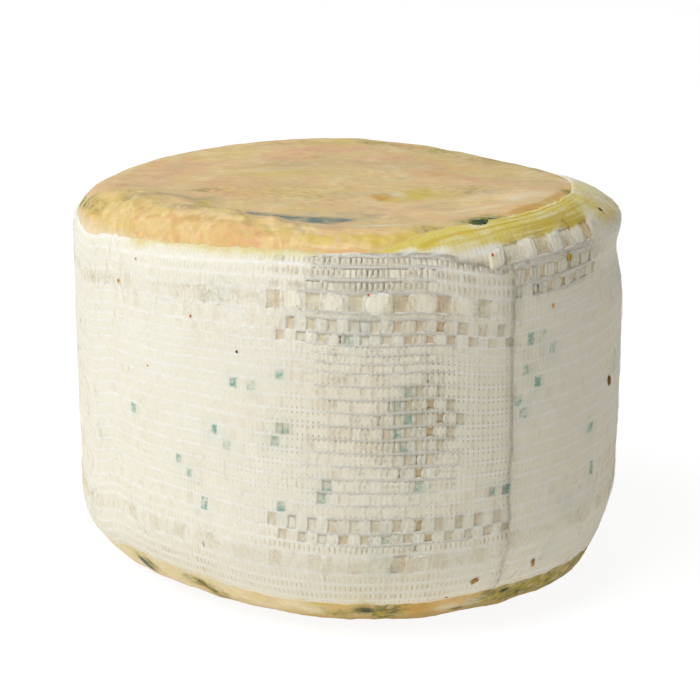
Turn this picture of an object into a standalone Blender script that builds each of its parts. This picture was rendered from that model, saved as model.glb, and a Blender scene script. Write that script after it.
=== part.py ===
"""A small wheel of creamy sheep's cheese with a lace bandage wound round its side.

Metres, with +Z up and the front towards -Y. The wheel stands on the XY plane, and
the middle of its bounding box is on the Z axis. An azimuth is an angle round that
axis from +X towards +Y, so the front is at -90 degrees.
"""

import math
from collections import namedtuple

import bmesh
import bpy

MM = 0.001

# The wheel: a drum with rounded edges that has sagged a little out of true
RADIUS = 53.3 * MM
HEIGHT = 77.7 * MM
TOP_MIDDLE = 77.2 * MM
FOOT_ROUNDING = 17.3 * MM
BROW_ROUNDING = 10.1 * MM
BELLY = 0.7 * MM
TAPER = 1.5 * MM
CENTRE = (-0.9 * MM, -1.9 * MM)

# How those sizes vary round the wheel: cycles in a turn, cosine part, sine part
OUT_OF_ROUND = ((2, -0.5 * MM, -1.6 * MM), (3, -0.65 * MM, 1.35 * MM))
RIM_WAVES = ((1, 0.4 * MM, -1.3 * MM), (2, -0.5 * MM, -0.4 * MM), (3, 0.2 * MM, -0.9 * MM))
FOOT_WAVES = ((1, 2.7 * MM, -5.2 * MM), (2, 0.4 * MM, 1.2 * MM))
BROW_WAVES = ((1, 1.9 * MM, 0.0), (2, 0.7 * MM, 1.1 * MM))

# Swellings and pinches of the side: place, half widths in degrees and height, and
# how far each stands out
Lump = namedtuple("Lump", "azimuth spread height rise out")
LUMPS = (
    Lump(azimuth=0, spread=34, height=66.5 * MM, rise=5.5 * MM, out=-1.5 * MM),
    Lump(azimuth=0, spread=26, height=73.0 * MM, rise=3.5 * MM, out=2.0 * MM),
    Lump(azimuth=-26, spread=23, height=2.0 * MM, rise=7 * MM, out=4.7 * MM),
    Lump(azimuth=-165, spread=50, height=6.0 * MM, rise=14 * MM, out=0.6 * MM),
    Lump(azimuth=180, spread=40, height=76.0 * MM, rise=8 * MM, out=0.7 * MM),
)

# The rumpled crust along the front left of the rim, between two azimuths, and the
# stages of the section where it rises and falls again
CRUST = 0.9 * MM
CRUST_TURN = (-176, -158, -117, -95)
CRUST_STAGES = (3.3, 3.5, 4.06, 4.2)
CRUST_FOLDS = (13, 5, 4)

# The top: the stage where its middle plateau starts, and a trough behind the crust
PLATEAU_STAGE = 4.6
TROUGH = 1.0 * MM
TROUGH_STAGE, TROUGH_SPREAD = 4.2, 0.15
TROUGH_AZIMUTH, TROUGH_TURN = -105, math.radians(70)

# The lace bandage: a knitted band, wound a little more than once round the wheel
LACE_THICKNESS = 0.5 * MM
LACE_GAP = 0.4 * MM
LACE_START = math.radians(-92.5)
LACE_TURN = math.radians(394)
OVERLAP_RAMP = (math.radians(334), math.radians(355))

# Its two edges, as lengths up the section, and how they shift along the band:
# between which degrees, and how far the lower and the upper edge move
LOWER_EDGE = 20.6 * MM
UPPER_EDGE = 88.5 * MM
Shift = namedtuple("Shift", "start end lower upper")
EDGE_SHIFTS = (
    Shift(start=2, end=26, lower=0.0, upper=6.5 * MM),
    Shift(start=75, end=175, lower=0.0, upper=-13.0 * MM),
    Shift(start=242, end=268, lower=-4.0 * MM, upper=-2.0 * MM),
    Shift(start=280, end=356, lower=0.0, upper=6.8 * MM),
    Shift(start=286, end=302, lower=4.0 * MM, upper=2.0 * MM),
    Shift(start=325, end=345, lower=-1.2 * MM, upper=0.0),
    Shift(start=374, end=394, lower=1.0 * MM, upper=-3.5 * MM),
)

# Its rows from the bottom up, and the stretch whose upper open cells are matted shut
HEM, OPEN_ROW, HEAD = 8.3 * MM, 3.3 * MM, 7.5 * MM
LOW_FIELD, MIDDLE_FIELD, HIGH_FIELD = 8.0 * MM, 26.9 * MM, 11.8 * MM
REPEATS = 49
TUFT_SHARE = 0.55
MATTED_FROM, MATTED_TO = math.radians(262), math.radians(352)

# Where the band turns over the rim at the right, its upper rows are drawn up: how far,
# between which degrees along it, and at which shares of its width
DRAWN_UP = 1.9 * MM
DRAWN_TURN = (24, 36, 64, 84)
DRAWN_SHARES = (0.6, 0.84, 0.9, 1.0)

# Steps of the meshes
ROUND_STEPS = 96
FOOT_STEPS, WALL_STEPS, BROW_STEPS, TOP_STEPS = 7, 8, 6, 6
HEM_STEPS, HEAD_STEPS = 2, 3
FIELD_STEPS = (2, 4, 4)


def smooth(low, high, value):
    """0 below low, 1 above high, and an S-curve between them."""
    share = min(max((value - low) / (high - low), 0.0), 1.0)
    return share * share * (3 - 2 * share)


def plateau(corners, value):
    """Rises from 0 to 1 between the first two corners and falls between the last two."""
    return smooth(corners[0], corners[1], value) * (1 - smooth(corners[2], corners[3], value))


def waves(parts, azimuth):
    return sum(c * math.cos(n * azimuth) + s * math.sin(n * azimuth) for n, c, s in parts)


def away(azimuth, degrees):
    """How far an azimuth is from one given in degrees, the short way round."""
    return abs((azimuth - math.radians(degrees) + math.pi) % math.tau - math.pi)


def section(azimuth):
    """The radius, rim height, foot rounding and brow rounding at one azimuth."""
    return (
        RADIUS + waves(OUT_OF_ROUND, azimuth),
        HEIGHT + waves(RIM_WAVES, azimuth),
        FOOT_ROUNDING + waves(FOOT_WAVES, azimuth),
        BROW_ROUNDING + waves(BROW_WAVES, azimuth),
    )


def swell(azimuth, height):
    """How far the side stands out of the plain drum at a height."""
    out = BELLY * math.sin(math.pi * min(height / HEIGHT, 1.0)) + TAPER * (height / HEIGHT - 0.5)
    for lump in LUMPS:
        across = away(azimuth, lump.azimuth) / math.radians(lump.spread)
        up = (height - lump.height) / lump.rise
        out += lump.out * math.exp(-across * across - up * up)
    return out


def crust(azimuth, stage):
    """Height of the rumpled crust over the rim."""
    wide, fine, slant = CRUST_FOLDS
    folds = 0.6 + 0.4 * math.sin(wide * azimuth + 2.5 * math.sin(fine * azimuth + slant * stage))
    degrees = (math.degrees(azimuth) + 180) % 360 - 180
    return CRUST * folds * plateau(CRUST_TURN, degrees) * plateau(CRUST_STAGES, stage)


def trough(azimuth, stage):
    """Depth of the trough that runs behind the crust."""
    along = away(azimuth, TROUGH_AZIMUTH) / TROUGH_TURN
    across = (stage - TROUGH_STAGE) / TROUGH_SPREAD
    return TROUGH * math.exp(-along * along - across * across)


def skin(azimuth, stage, lift=0.0):
    """A point of the rind, or one that stands off it by lift.

    The stage runs up the section: 0 is the middle of the base, 1 where the foot's
    rounding starts, 2 the bottom and 3 the top of the wall, 4 the rim and 5 the
    middle of the top.
    """
    radius, rim, foot, brow = section(azimuth)
    if stage < 1:
        lean, out, up = -math.pi / 2, (radius - foot) * stage, 0.0
    elif stage < 2:
        lean = (stage - 2) * math.pi / 2
        out, up = radius - foot + foot * math.cos(lean), foot + foot * math.sin(lean)
    elif stage < 3:
        lean, out, up = 0.0, radius, foot + (rim - brow - foot) * (stage - 2)
    elif stage < 4:
        lean = (stage - 3) * math.pi / 2
        out, up = radius - brow + brow * math.cos(lean), rim - brow + brow * math.sin(lean)
    else:
        lean, out = math.pi / 2, (radius - brow) * (5 - stage)
        up = rim + (TOP_MIDDLE - rim) * smooth(4, PLATEAU_STAGE, stage) - trough(azimuth, stage)
    out += swell(azimuth, up) * out / radius
    lift += crust(azimuth, stage)
    out += lift * math.cos(lean)
    up += lift * math.sin(lean)
    x, y = out * math.cos(azimuth) - CENTRE[0], out * math.sin(azimuth) - CENTRE[1]
    return x, y, up


def stage_at(azimuth, climb):
    """The stage that lies a given length up the section from where the foot starts."""
    radius, rim, foot, brow = section(azimuth)
    lengths = (foot * math.pi / 2, rim - brow - foot, brow * math.pi / 2, radius - brow)
    for stage, length in enumerate(lengths, start=1):
        if climb < length:
            return stage + climb / length
        climb -= length
    return 5.0


def lace_edges(turn):
    """Lengths up the section of the bandage's lower and upper edge."""
    lower, upper = LOWER_EDGE, UPPER_EDGE
    for shift in EDGE_SHIFTS:
        share = smooth(shift.start, shift.end, math.degrees(turn))
        lower += shift.lower * share
        upper += shift.upper * share
    return lower, upper


def lace_lift(turn):
    """How far the band stands off the rind: its end climbs over its start."""
    return LACE_GAP + (LACE_THICKNESS + LACE_GAP) * smooth(*OVERLAP_RAMP, turn)


def lace_point(turn, share):
    """A point of the bandage's inner face, at a share of its width from the lower edge."""
    azimuth = LACE_START + turn
    lower, upper = lace_edges(turn)
    drawn = DRAWN_UP * plateau(DRAWN_TURN, math.degrees(turn)) * plateau(DRAWN_SHARES, share)
    stage = stage_at(azimuth, lower + (upper - lower) * share + drawn)
    return skin(azimuth, stage, lace_lift(turn))


def lace_rows():
    """Shares of the width at which the band's grid has its lines, and the open rows."""
    field = tuple(zip((LOW_FIELD, MIDDLE_FIELD, HIGH_FIELD), FIELD_STEPS))
    stretches = ((HEM, HEM_STEPS), (OPEN_ROW, 1), *field, (OPEN_ROW, 1), (HEAD, HEAD_STEPS))
    width = sum(length for length, _ in stretches)
    shares = [0.0]
    for length, steps in stretches:
        for _ in range(steps):
            shares.append(shares[-1] + length / width / steps)
    return shares, (HEM_STEPS, HEM_STEPS + 1 + sum(FIELD_STEPS))


def material(name, colour, roughness):
    made = bpy.data.materials.new(name)
    made.use_nodes = True
    shader = made.node_tree.nodes["Principled BSDF"]
    shader.inputs["Base Color"].default_value = (*colour, 1.0)
    shader.inputs["Roughness"].default_value = roughness
    shader.inputs["Metallic"].default_value = 0.0
    return made


def add_object(name, mesh_builder, made_of, collection):
    mesh = bpy.data.meshes.new(name)
    mesh_builder.normal_update()
    mesh_builder.to_mesh(mesh)
    mesh_builder.free()
    mesh.shade_smooth()
    mesh.materials.append(made_of)
    thing = bpy.data.objects.new(name, mesh)
    collection.objects.link(thing)
    return thing


def make_cheese(collection):
    """A ball whose rings are carried to the stages of the section."""
    stages = [0.0]
    for first, steps in ((1, FOOT_STEPS), (2, WALL_STEPS), (3, BROW_STEPS), (4, TOP_STEPS)):
        stages += [first + step / steps for step in range(steps)]
    stages.append(5.0)
    rings = len(stages) - 1
    ball = bmesh.new()
    bmesh.ops.create_uvsphere(ball, u_segments=ROUND_STEPS, v_segments=rings, radius=1.0)
    for vert in ball.verts:
        azimuth = math.atan2(vert.co.y, vert.co.x)
        ring = round(math.acos(max(-1.0, min(1.0, -vert.co.z))) / math.pi * rings)
        vert.co = skin(azimuth, stages[ring])
    bmesh.ops.recalc_face_normals(ball, faces=ball.faces)
    return add_object("cheese", ball, material("rind", (0.72, 0.55, 0.34), 0.6), collection)


def make_lace(collection):
    """A grid wound round the wheel, with the open cells taken out, then given a wall."""
    shares, open_rows = lace_rows()
    columns, rows = 2 * REPEATS, len(shares) - 1
    grid = bmesh.new()
    bmesh.ops.create_grid(grid, x_segments=columns, y_segments=rows, size=0.5)
    repeat = LACE_TURN / REPEATS
    open_cells = []
    for face in grid.faces:
        middle = face.calc_center_median()
        column, row = int((middle.x + 0.5) * columns), int((middle.y + 0.5) * rows)
        turn = column / 2 * repeat
        matted = row == open_rows[1] and MATTED_FROM < turn < MATTED_TO
        if column % 2 and row in open_rows and not matted:
            open_cells.append(face)
    bmesh.ops.delete(grid, geom=open_cells, context="FACES")
    for vert in grid.verts:
        column, row = round((vert.co.x + 0.5) * columns), round((vert.co.y + 0.5) * rows)
        turn = (column // 2 + TUFT_SHARE * (column % 2)) * repeat
        vert.co = lace_point(turn, shares[row])
    bmesh.ops.recalc_face_normals(grid, faces=grid.faces)
    cotton = material("cotton_lace", (0.82, 0.80, 0.72), 0.9)
    lace = add_object("lace_band", grid, cotton, collection)
    wall = lace.modifiers.new("wall", "SOLIDIFY")
    wall.thickness = LACE_THICKNESS
    wall.offset = 1.0
    return lace


def main():
    for thing in list(bpy.data.objects):
        bpy.data.objects.remove(thing)
    collection = bpy.data.collections.new("creamy_sheep_cheese")
    bpy.context.scene.collection.children.link(collection)
    make_cheese(collection)
    make_lace(collection)


main()
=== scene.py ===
import math
import random
from collections import namedtuple

import bmesh
import bpy
import numpy as np
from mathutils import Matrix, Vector, noise


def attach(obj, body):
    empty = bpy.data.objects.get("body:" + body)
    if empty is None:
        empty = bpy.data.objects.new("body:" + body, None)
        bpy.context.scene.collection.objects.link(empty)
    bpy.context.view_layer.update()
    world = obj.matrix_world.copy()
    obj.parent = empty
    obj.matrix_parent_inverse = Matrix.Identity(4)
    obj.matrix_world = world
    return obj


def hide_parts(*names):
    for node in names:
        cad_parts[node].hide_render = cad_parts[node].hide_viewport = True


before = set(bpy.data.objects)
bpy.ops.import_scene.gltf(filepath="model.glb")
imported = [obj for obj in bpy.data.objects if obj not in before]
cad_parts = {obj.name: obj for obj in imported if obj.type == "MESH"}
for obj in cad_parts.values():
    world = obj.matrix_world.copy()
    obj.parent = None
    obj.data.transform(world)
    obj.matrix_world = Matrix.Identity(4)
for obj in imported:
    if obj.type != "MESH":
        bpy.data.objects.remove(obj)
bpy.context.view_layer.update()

# A small wheel of creamy sheep's cheese with a lace bandage wound round its side.
# Metres, +Z up, the front towards -Y. Azimuths run from +X towards +Y.

MM = 0.001

# The wheel: a drum with rounded edges that has sagged a little out of true
RADIUS = 53.3 * MM
HEIGHT = 77.7 * MM
TOP_MIDDLE = 77.2 * MM
FOOT_ROUNDING = 17.3 * MM
BROW_ROUNDING = 10.1 * MM
BELLY = 0.7 * MM
TAPER = 1.5 * MM
CENTRE = (-0.9 * MM, -1.9 * MM)

# How those sizes vary round the wheel: cycles in a turn, cosine part, sine part
OUT_OF_ROUND = ((2, -0.5 * MM, -1.6 * MM), (3, -0.65 * MM, 1.35 * MM))
RIM_WAVES = ((1, 0.4 * MM, -1.3 * MM), (2, -0.5 * MM, -0.4 * MM), (3, 0.2 * MM, -0.9 * MM))
FOOT_WAVES = ((1, 2.7 * MM, -5.2 * MM), (2, 0.4 * MM, 1.2 * MM))
BROW_WAVES = ((1, 1.9 * MM, 0.0), (2, 0.7 * MM, 1.1 * MM))

# Swellings and pinches of the side: place, half widths in degrees and height, and
# how far each stands out
Lump = namedtuple("Lump", "azimuth spread height rise out")
LUMPS = (
    Lump(azimuth=0, spread=34, height=66.5 * MM, rise=5.5 * MM, out=-1.5 * MM),
    Lump(azimuth=0, spread=26, height=73.0 * MM, rise=3.5 * MM, out=2.0 * MM),
    Lump(azimuth=-26, spread=23, height=2.0 * MM, rise=7 * MM, out=4.7 * MM),
    Lump(azimuth=-165, spread=50, height=6.0 * MM, rise=14 * MM, out=0.6 * MM),
    Lump(azimuth=180, spread=40, height=76.0 * MM, rise=8 * MM, out=0.7 * MM),
)

# The rumpled crust along the front left of the rim
CRUST = 0.9 * MM
CRUST_TURN = (-176, -158, -117, -95)
CRUST_STAGES = (3.3, 3.5, 4.06, 4.2)
CRUST_FOLDS = (13, 5, 4)

# The top: the stage where its middle plateau starts, and a trough behind the crust
PLATEAU_STAGE = 4.6
TROUGH = 1.0 * MM
TROUGH_STAGE, TROUGH_SPREAD = 4.2, 0.15
TROUGH_AZIMUTH, TROUGH_TURN = -105, math.radians(70)

# The lace bandage, wound a little more than once round the wheel, and its edges
LACE_START = math.radians(-92.5)
LACE_TURN = math.radians(394)
OVERLAP_RAMP = (math.radians(334), math.radians(355))
LOWER_EDGE = 20.6 * MM
UPPER_EDGE = 88.5 * MM
Shift = namedtuple("Shift", "start end lower upper")
EDGE_SHIFTS = (
    Shift(start=2, end=26, lower=0.0, upper=6.5 * MM),
    Shift(start=75, end=175, lower=0.0, upper=-13.0 * MM),
    Shift(start=242, end=268, lower=-4.0 * MM, upper=-2.0 * MM),
    Shift(start=280, end=356, lower=0.0, upper=6.8 * MM),
    Shift(start=286, end=302, lower=4.0 * MM, upper=2.0 * MM),
    Shift(start=325, end=345, lower=-1.2 * MM, upper=0.0),
    Shift(start=374, end=394, lower=1.0 * MM, upper=-3.5 * MM),
)

# Where the band turns over the rim at the right, its upper rows are drawn up: how far,
# between which degrees along it, and at which shares of its width
DRAWN_UP = 1.9 * MM
DRAWN_TURN = (24, 36, 64, 84)
DRAWN_SHARES = (0.6, 0.84, 0.9, 1.0)

# The knit: columns of stitches, called wales, and rows of cells between the cords, with
# the kind and the heights in millimetres of the rows from the lower edge up
WALES = 392
WALE = 0.957 * MM
Row = namedtuple("Row", "height kind")
ROW_HEIGHTS = (
    ("band", 1.7), ("ladder", 2.3, 2.1, 2.4), ("tuft", 4.0), ("ladder", 1.9), ("net", 2.2, 2.9),
    ("field", *[2.5] * 11, *[1.7] * 3), ("net", 2.15, 2.7), ("band", 0.9), ("tuft", 3.7),
    ("ladder", 2.2, 2.25, 2.1), ("band", 0.6),
)
ROWS = [Row(height * MM, kind) for kind, *heights in ROW_HEIGHTS for height in heights]
LINES = np.concatenate([[0.0], np.cumsum([row.height for row in ROWS])])
MIDDLES = (LINES[:-1] + LINES[1:]) / 2
BAND_WIDTH, BAND_LENGTH = float(LINES[-1]), WALES * WALE
TUFT_REPEAT, TUFT_OPEN, TUFT_LOOSE, NET_REPEAT = 8, 3, 96, 4
MOTIF_FIRST, MOTIF_REPEAT, MOTIF_ROW = 373.0, 33.4, 14.5
MOTIF_WALES, MOTIF_ROWS = 9.5, 4.3

# Wall of the lace, and lifts of its parts above the rind
NET_LIFT, NET_WALL, NET_RECESS, FILM_RECESS = 0.04 * MM, 0.26 * MM, 0.12 * MM, 0.08 * MM
FELT_RISE, FELT_LUMPS, EDGE_SINK, PRESSED = 0.10 * MM, 0.05 * MM, 0.24 * MM, 0.18 * MM
CORD_LIFT, CORD_SINK, CORD_HEIGHT, CORD_HALF = 0.285 * MM, 0.20 * MM, 0.055 * MM, 0.40 * MM
STITCH_LIFT, TUFT_LIFT, HAIR_LIFT, SPECK_LIFT = 0.235 * MM, 0.12 * MM, 0.36 * MM, 0.55 * MM
SECOND_LAYER, BURIED = 0.14 * MM, 0.30 * MM

# Where the outer turn dips at its cut end, and where the inner one is buried under it, in
# degrees along the band and in how far it lies below the outer one's upper edge
END_DIP, END_DIP_TURN = 0.8, (380, 394)
BURIED_TURN, BURIED_REACH = (27, 36), (1.0 * MM, 4.0 * MM)

# How the band strays from a straight one: sway along and across it, a frayed edge, and a
# wavy cut end; each with the size of its noise
SWAY_ALONG, SWAY_ACROSS = (0.35 * MM, 9 * MM), (0.32 * MM, 13 * MM)
EDGE_FRAY, END_WAVE, END_REACH = (0.5 * MM, 1.6 * MM), (0.9 * MM, 5 * MM), 7 * MM
EDGE_SHARES = (0, 0.03, 0.97, 1)

# The holes: width of the yarn round a slot and round a wide opening, and how much wider it
# is where felt has shut it; how high a slot is; how much a cell leans; an edge long enough
# to be split; and how deep a shut cell is, and how much of its ground shows
SLOT_RIM, CELL_RIM, SHUT_RIM = 0.35 * MM, 0.16 * MM, 1.8
SLOT_SHARES = {"ladder": 0.45, "field": 0.75}
CELL_LEAN, TALL_EDGE, NET_JITTER = 0.14, 3.0 * MM, 0.15 * MM
SHUT_FILM, SHUT_GROUND = 0.25 * FILM_RECESS, 0.3

# How far white mould has felted the lace, and where it is more or less than that: degrees
# along the band and shares of its width, each as the start and end of a rise and a fall
FELT_LEVEL, FELT_RIPPLE = 0.86, 0.2
ANY_HEIGHT = (-2, -1, 2, 3)
Felting = namedtuple("Felting", "turn heights more")
FELTINGS = (
    Felting((250, 280, 336, 364), ANY_HEIGHT, -0.1),
    Felting((250, 280, 336, 364), (0.42, 0.6, 2, 3), 0.2),
    Felting((336, 364, 420, 421), ANY_HEIGHT, -0.62),
    Felting((336, 364, 420, 421), (-2, -1, 0.16, 0.21), 0.36),
    Felting((376, 388, 420, 421), ANY_HEIGHT, 0.2),
    Felting((26, 31, 54, 64), (0.74, 0.77, 0.89, 0.91), -0.6),
    Felting((62, 68, 112, 130), (0.74, 0.8, 2, 3), 0.4),
)
RIM_FELTING = Felting((-2, -1, 200, 260), (0.88, 0.92, 2, 3), 0.4)

# A cell is open where its own chance is above its felt and the number for its kind, filmed
# over where it is above felt and FILMED_CELL, and shut elsewhere or where felt is this thick
OPEN_SLOT, OPEN_CELL, OPEN_WIDE, FILMED_CELL = 0.6, 0.76, 0.55, 0.25
SHUT_WIDE, SHUT_FACE = 0.95, 0.62

# Teal mould spots under the open cells of the lace: azimuth in degrees, length up
# the section in millimetres, and radius in millimetres
TEAL_SPOTS = (
    (-117, 79.4, 1.6), (-114, 63.0, 1.2), (-109.5, 62.4, 1.3), (-104, 65.4, 1.3),
    (-143.5, 50.9, 1.0), (-119, 52.3, 1.4), (-116, 50.7, 1.6), (-105, 53.2, 1.8),
    (-103, 55.9, 1.6), (-129, 44.3, 0.9), (-125.5, 42.2, 1.2), (-122, 37.4, 1.1),
    (-103.5, 39.1, 1.4), (-94.5, 45.6, 1.3), (-95.5, 44.0, 1.4), (-88, 75.7, 1.8),
    (-90.5, 72.8, 1.3), (-80, 63.4, 1.2), (-82, 60.7, 1.3), (-80, 58.1, 1.7),
    (-82, 55.7, 1.7), (-80.5, 53.0, 1.2), (-77.5, 44.5, 1.2), (-84, 35.1, 1.5),
    (-85.5, 31.4, 1.3), (-83, 29.6, 1.9), (-63, 43.3, 1.3), (-59.5, 43.1, 1.3),
    (-61, 86.4, 0.9), (-58, 79.3, 1.3), (-52.5, 80.1, 1.0), (-54.5, 70.2, 1.4),
    (-51, 69.2, 1.3), (-48.5, 66.7, 1.7), (-55, 64.5, 1.4), (-52.5, 61.2, 1.2),
    (-57.5, 58.7, 1.2), (-56, 56.8, 1.8), (-34.5, 49.8, 1.3), (-33, 47.4, 1.6),
    (-32.5, 39.2, 1.3), (-32.5, 35.1, 1.2), (-42.5, 36.0, 1.7), (-45.5, 28.5, 1.2),
    (-46.5, 26.0, 1.6), (-42.5, 26.7, 1.2), (-18, 58.0, 1.5), (-8, 44.0, 1.6),
    (12, 62.0, 1.5), (21, 57.0, 1.3), (33, 48.0, 1.6), (49, 66.0, 1.4),
    (55, 40.0, 1.5), (76, 59.0, 1.6), (82, 53.0, 1.2), (101, 46.0, 1.6),
    (118, 63.0, 1.5), (124, 57.0, 1.2), (146, 44.0, 1.6), (158, 62.0, 1.5),
    (171, 52.0, 1.3), (-172, 60.0, 1.2), (-160, 42.0, 1.3),
)

# Stains of the rind, from the lowest to the top one
CHANNELS = ("pink", "orange", "yellow", "ochre", "gold", "bloom", "olive", "grey", "teal", "green")
STAIN_LAYERS = ("stains_low", "stains_middle", "stains_high")

# Blots on the top, by tint: middle, half length and half width in millimetres, turn in
# degrees and strength
TOP_BLOTS = {
    "grey": (
        (-12.3, -28.6, 5, 3.4, -20, 0.95), (-4, -30.6, 6.5, 3.2, -4, 1), (-3, -29, 14, 5.6, -6, 0.5),
        (-17, -26, 4.2, 2.6, -30, 0.8), (-34, -13, 9, 6, 0, 0.5), (-40, -13, 3, 2.2, 0, 0.7),
        (-29, -26.3, 5, 2.6, -20, 0.55), (25.8, -9, 6.5, 6, -20, 0.42),
    ),
    "olive": (
        (-27, -26.5, 3.4, 1.6, -20, 0.7), (-27.5, -3.5, 3.6, 2.4, 0, 0.6), (-12, -8, 16, 9, -10, 0.24),
        (24, -6, 9, 6, -5, 0.3), (25.6, -40.4, 5, 3.4, 12, 0.9), (15.6, -45.4, 4, 1.6, 12, 0.8),
        (-10, 42, 9, 2, 0, 0.3), (6, 42.4, 5, 2.4, -5, 0.5), (19, 38.2, 6, 3, -22, 0.42),
        (29.5, 32.4, 7, 4.4, -38, 0.48), (39, 22, 6, 3, -55, 0.4), (42.5, -13.5, 2.6, 1.8, 60, 0.9),
    ),
    "pink": (
        (4, -20, 18, 6, 0, 0.3), (-36, 17, 12, 8, 35, 0.6), (-3.6, 35, 12, 4.5, 0, 0.7),
        (10.9, 28, 12, 5.5, -10, 0.55), (30, 6, 9, 4, -15, 0.6), (-31, -20.5, 2.6, 1.6, -20, 0.9),
    ),
    "green": ((25.6, -40.6, 3.6, 2.3, 12, 1),),
    "ochre": ((6.9, -10.4, 2.4, 3.2, 0, 1),),
    "yellow": (
        (9, -13, 3.4, 2.6, -25, 0.8), (14, -7.6, 3.4, 6.5, -10, 1), (19, -9, 5, 4, -5, 0.6),
        (6, -1.5, 10, 3, 5, 0.4), (-9.4, 13, 9, 5, 0, 0.5), (-24.2, -31.8, 7.5, 1.3, -65, 1),
        (-27.2, -19.5, 7, 1.6, -87, 0.9), (-17.8, -39.6, 5, 1.3, -39, 1),
        (-12.2, -44.6, 3.6, 1.3, -42, 1), (-37.5, -21.5, 3.4, 1.8, -30, 1),
        (-34.5, -27.5, 3.6, 1.8, -45, 0.9),
    ),
    "bloom": (
        (9.9, -8.4, 2.2, 2.6, 0, 0.45), (44.4, 4, 6.5, 3, -75, 0.7), (33, -20, 10, 4.5, 59, 0.6),
        (24, -31, 7, 3, 40, 0.35), (-9, -38, 11, 3.5, -8, 0.6), (8, -40, 9, 3.4, 0, 0.6),
    ),
    "orange": (
        (-22.6, 19.3, 4, 2.6, 5, 0.45), (-15.6, 21.4, 4, 2.4, 5, 0.5), (-7.6, 28.1, 3, 2, 5, 0.5),
        (-27.3, 33.5, 6, 3, 20, 0.45), (20, 12, 12, 4, -5, 0.5), (12.6, 41, 4, 2.2, -15, 0.7),
        (-27, -36, 3, 1.6, -50, 0.9),
    ),
    "gold": ((43.5, -9, 3.2, 3.6, -65, 0.7),),
}

# Stretches of the rim and foot: azimuths in degrees and stages, each as the start and
# end of its rise and of its fall
Zone = namedtuple("Zone", "turn stages tint strength")
ZONES = (
    Zone((-181, -172, -150, -140), (3.25, 3.4, 3.75, 3.95), "yellow", 0.6),
    Zone((-181, -176, -166, -158), (3.35, 3.45, 3.6, 3.75), "olive", 0.7),
    Zone((172, 176, 180, 181), (3.3, 3.38, 3.46, 3.55), "olive", 0.7),
    Zone((-160, -150, -104, -98), (3.2, 3.3, 3.7, 3.9), "orange", 0.65),
    Zone((-120, -115, -108, -102), (3.36, 3.42, 3.52, 3.6), "pink", 1.0),
    Zone((-156, -148, -100, -92), (3.65, 3.8, 3.98, 4.08), "bloom", 0.4),
    Zone((-150, -140, -106, -98), (3.8, 3.9, 4.05, 4.15), "pink", 0.5),
    Zone((-105, -101, -90, -87), (3.4, 3.45, 3.52, 3.56), "orange", 1.0),
    Zone((-103, -100, -96, -93), (3.56, 3.6, 3.7, 3.78), "gold", 1.0),
    Zone((-96, -90, -76, -66), (3.58, 3.64, 3.74, 3.84), "yellow", 0.8),
    Zone((-92, -86, 60, 90), (3.5, 3.58, 3.72, 3.8), "gold", 0.7),
    Zone((-60, -54, -24, -16), (3.72, 3.8, 3.9, 4.02), "ochre", 0.6),
    Zone((-76, -66, -58, -54), (3.74, 3.8, 3.88, 3.96), "bloom", 0.5),
    Zone((-181, -180, 180, 181), (1.1, 1.25, 1.7, 1.8), "yellow", 0.5),
    Zone((-178, -170, -104, -94), (1.2, 1.35, 1.66, 1.8), "bloom", 0.62),
    Zone((-66, -58, 60, 90), (1.3, 1.4, 1.62, 1.72), "olive", 0.6),
)

# Stains along the foot, by tint: azimuth, length up the section, half width and half
# height in millimetres, and strength
FOOT_SPOTS = {
    "gold": (
        (-157, 17.5, 4, 2.6, 1), (-138, 17, 6, 2.6, 1), (-112, 18.6, 2.4, 1, 1), (-97, 18.6, 2.4, 1, 0.9),
        (24, 15.6, 7, 2.6, 0.9), (96, 15.6, 7, 2.6, 0.9),
    ),
    "green": (
        (-151, 15.6, 1.3, 3.4, 0.9), (-129, 17.6, 1.6, 1, 1), (-87, 16.6, 2.6, 1.7, 1),
        (-88.5, 15.4, 1.6, 1.2, 0.8), (-64.5, 13.4, 1.8, 1.2, 1), (-85, 15.4, 3, 1.6, 0.7),
        (-54.5, 18.4, 1.3, 0.8, 1), (41, 16.5, 3, 1.8, 0.9), (113, 16.5, 2.6, 1.8, 0.9),
    ),
    "olive": (
        (-149, 17, 3.4, 2.4, 1), (-130, 17, 4.6, 2, 1), (-127, 14, 4, 3, 1), (-93, 14.5, 4.6, 2.6, 0.65),
        (-82.5, 15.2, 3.8, 4.2, 1), (-57, 17.2, 3.8, 1.8, 1), (-50, 16.2, 4.4, 2.4, 1),
        (-33, 13.6, 5, 2.6, 0.9), (6, 16.4, 5, 2.6, 0.9), (46, 15.5, 4, 2.8, 0.9), (77, 17, 6, 2.6, 0.9),
        (118, 15.5, 4, 2.8, 0.9), (148, 17, 6, 2.6, 0.9),
    ),
    "pink": ((-136, 13, 6, 2.4, 0.8), (-67, 19, 4.6, 1.7, 1), (131, 15.6, 7, 2.8, 0.9),),
    "bloom": (
        (-121, 17.6, 3.6, 1.8, 0.9), (-98, 15.6, 4, 2, 0.7), (-110, 14.6, 5, 2.2, 0.8),
        (-61, 16.4, 4, 2.4, 0.9), (-68, 15.6, 3, 2, 0.9), (-99, 15, 6, 2.4, 0.8),
    ),
    "orange": ((-105, 17.2, 4.6, 1.5, 1), (-73.5, 14, 4.4, 2.6, 0.8), (60, 15.6, 7, 2.8, 0.9),),
    "ochre": (
        (-103, 12, 7, 2, 0.5), (-76, 17.5, 4.8, 2.2, 1), (-8, 15, 6, 2.8, 0.9), (166, 15.6, 7, 2.8, 0.9),
    ),
    "yellow": ((-42, 18, 4.6, 2, 1), (-27, 14.5, 6, 2.6, 1),),
}

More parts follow.
